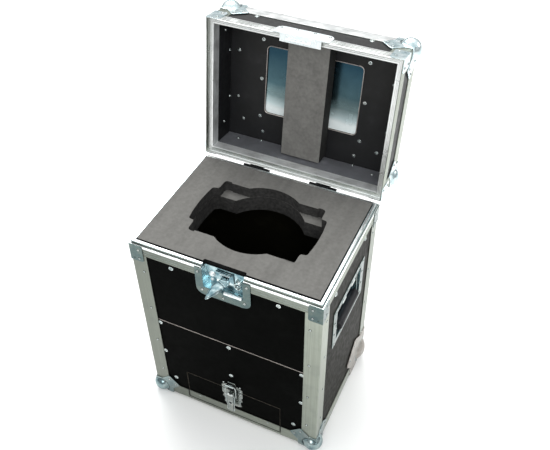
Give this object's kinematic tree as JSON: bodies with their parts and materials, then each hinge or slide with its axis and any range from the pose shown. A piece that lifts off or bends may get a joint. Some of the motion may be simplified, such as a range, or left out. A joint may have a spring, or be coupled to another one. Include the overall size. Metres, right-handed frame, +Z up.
{
  "type": "moving head light flight case",
  "caption": "Upright flight case for a moving head light: laminated plywood in aluminium edges, foam cut to the light, hinged lid, butterfly latch, side handles, accessory hatch.",
  "frame": {"origin": "centre of the underside of the base panel; the ball corners stand 9.3 mm lower", "axes": "+X to the case's right, -Y to its front (latch and hatch side), +Z up"},
  "size_m": [0.426, 0.4773, 0.7876],
  "materials": {
    "laminated_ply": "black textured phenolic laminate on plywood, low sheen",
    "aluminium_extrusion": "natural anodised, satin, fine ridges",
    "zinc_corner": "bright zinc plate on pressed steel",
    "zinc_hardware": "blue-passivated bright zinc plate",
    "grey_foam": "closed-cell foam, matt, fine grain",
    "black_foam": "closed-cell foam, matt",
    "grip_rubber": "moulded, satin"
  },
  "bodies": {
    "case_body": {"base_panel": "laminated_ply", "back_panel": "laminated_ply", "left_panel": "laminated_ply", "right_panel": "laminated_ply", "front_panel": "laminated_ply", "front_cover": "laminated_ply", "divider_shelf": "laminated_ply", "joining_strip": "aluminium_extrusion", "corner_angle_front_left": "aluminium_extrusion", "corner_angle_front_right": "aluminium_extrusion", "corner_angle_back_left": "aluminium_extrusion", "corner_angle_back_right": "aluminium_extrusion", "bottom_angle_front": "aluminium_extrusion", "bottom_angle_back": "aluminium_extrusion", "bottom_angle_left": "aluminium_extrusion", "bottom_angle_right": "aluminium_extrusion", "body_rim": "aluminium_extrusion", "hatch_hinge_barrel": "aluminium_extrusion", "base_ball_corner_front_left": "zinc_corner", "base_ball_corner_front_right": "zinc_corner", "base_ball_corner_back_left": "zinc_corner", "base_ball_corner_back_right": "zinc_corner", "latch_dish": "zinc_hardware", "left_handle_dish": "zinc_hardware", "right_handle_dish": "zinc_hardware", "catch_keeper": "zinc_hardware", "hinge_body_leaf_left": "zinc_hardware", "hinge_body_leaf_right": "zinc_hardware", "foam_top": "grey_foam", "foam_lower": "black_foam", "foam_base": "black_foam"},
    "lid": {"lid_top_panel": "laminated_ply", "lid_front_panel": "laminated_ply", "lid_back_panel": "laminated_ply", "lid_left_panel": "laminated_ply", "lid_right_panel": "laminated_ply", "lid_rim": "aluminium_extrusion", "lid_edge_frame": "aluminium_extrusion", "lid_ball_corner_front_left": "zinc_corner", "lid_ball_corner_front_right": "zinc_corner", "lid_ball_corner_back_left": "zinc_corner", "lid_ball_corner_back_right": "zinc_corner", "lid_foam_block": "grey_foam", "latch_keeper": "zinc_hardware", "label_dish": "zinc_hardware", "hinge_lid_leaf_left": "zinc_hardware", "hinge_lid_leaf_right": "zinc_hardware"},
    "latch_knob": {"latch_knob": "zinc_hardware"},
    "lower_wing": {"latch_wing_lower": "zinc_hardware"},
    "upper_wing": {"latch_wing_upper": "zinc_hardware"},
    "latch_hook": {"latch_hook": "zinc_hardware"},
    "right_handle": {"right_handle_bail": "zinc_hardware", "right_handle_grip": "grip_rubber"},
    "left_handle": {"left_handle_bail": "zinc_hardware", "left_handle_grip": "grip_rubber"},
    "hatch": {"hatch_panel": "laminated_ply", "hatch_sill_strip": "aluminium_extrusion", "catch_base": "zinc_hardware"},
    "catch_lever": {"catch_lever": "zinc_hardware"},
    "catch_loop": {"catch_loop": "zinc_hardware"}
  },
  "joints": [
    {"name": "lid_hinge", "type": "hinge", "parent": "case_body", "child": "lid", "pos_m": [0, 0.1544, 0.4764], "axis": [1, 0, 0], "range_deg": [0, 99]},
    {"name": "latch_turn", "type": "hinge", "parent": "case_body", "child": "latch_knob", "pos_m": [0, -0.1495, 0.4545], "axis": [0, -1, 0], "range_deg": [0, 127]},
    {"name": "lower_wing_fold", "type": "hinge", "parent": "latch_knob", "child": "lower_wing", "pos_m": [-0.0018, -0.1534, 0.4521], "axis": [-0.7986, 0, 0.6018], "range_deg": [-20, 50]},
    {"name": "upper_wing_fold", "type": "hinge", "parent": "latch_knob", "child": "upper_wing", "pos_m": [0.0018, -0.1534, 0.4569], "axis": [0.7986, 0, -0.6018], "range_deg": [-20, 50]},
    {"name": "hook_tilt", "type": "hinge", "parent": "case_body", "child": "latch_hook", "pos_m": [0, -0.13875, 0.44], "axis": [1, 0, 0], "range_deg": [0, 6]},
    {"name": "right_handle_lift", "type": "hinge", "parent": "case_body", "child": "right_handle", "pos_m": [0.193, 0, 0.368], "axis": [0, -1, 0], "range_deg": [0, 90], "stiffness_Nm_per_rad": 0.15, "springref_deg": -17.19},
    {"name": "left_handle_lift", "type": "hinge", "parent": "case_body", "child": "left_handle", "pos_m": [-0.193, 0, 0.368], "axis": [0, 1, 0], "range_deg": [0, 90], "stiffness_Nm_per_rad": 0.15, "springref_deg": -17.19},
    {"name": "hatch_drop", "type": "hinge", "parent": "case_body", "child": "hatch", "pos_m": [0, -0.1488, 0.0089], "axis": [1, 0, 0], "range_deg": [0, 80]},
    {"name": "catch_lift", "type": "hinge", "parent": "hatch", "child": "catch_lever", "pos_m": [0, -0.156, 0.097], "axis": [-1, 0, 0], "range_deg": [0, 100]},
    {"name": "loop_swing", "type": "hinge", "parent": "catch_lever", "child": "catch_loop", "pos_m": [0, -0.156, 0.088], "axis": [-1, 0, 0], "range_deg": [-87, 0]}
  ],
  "couplings": [
    {"joint": "hook_tilt", "follows": "latch_turn", "ratio": 0.0472},
    {"joint": "loop_swing", "follows": "catch_lift", "ratio": -0.868}
  ]
}
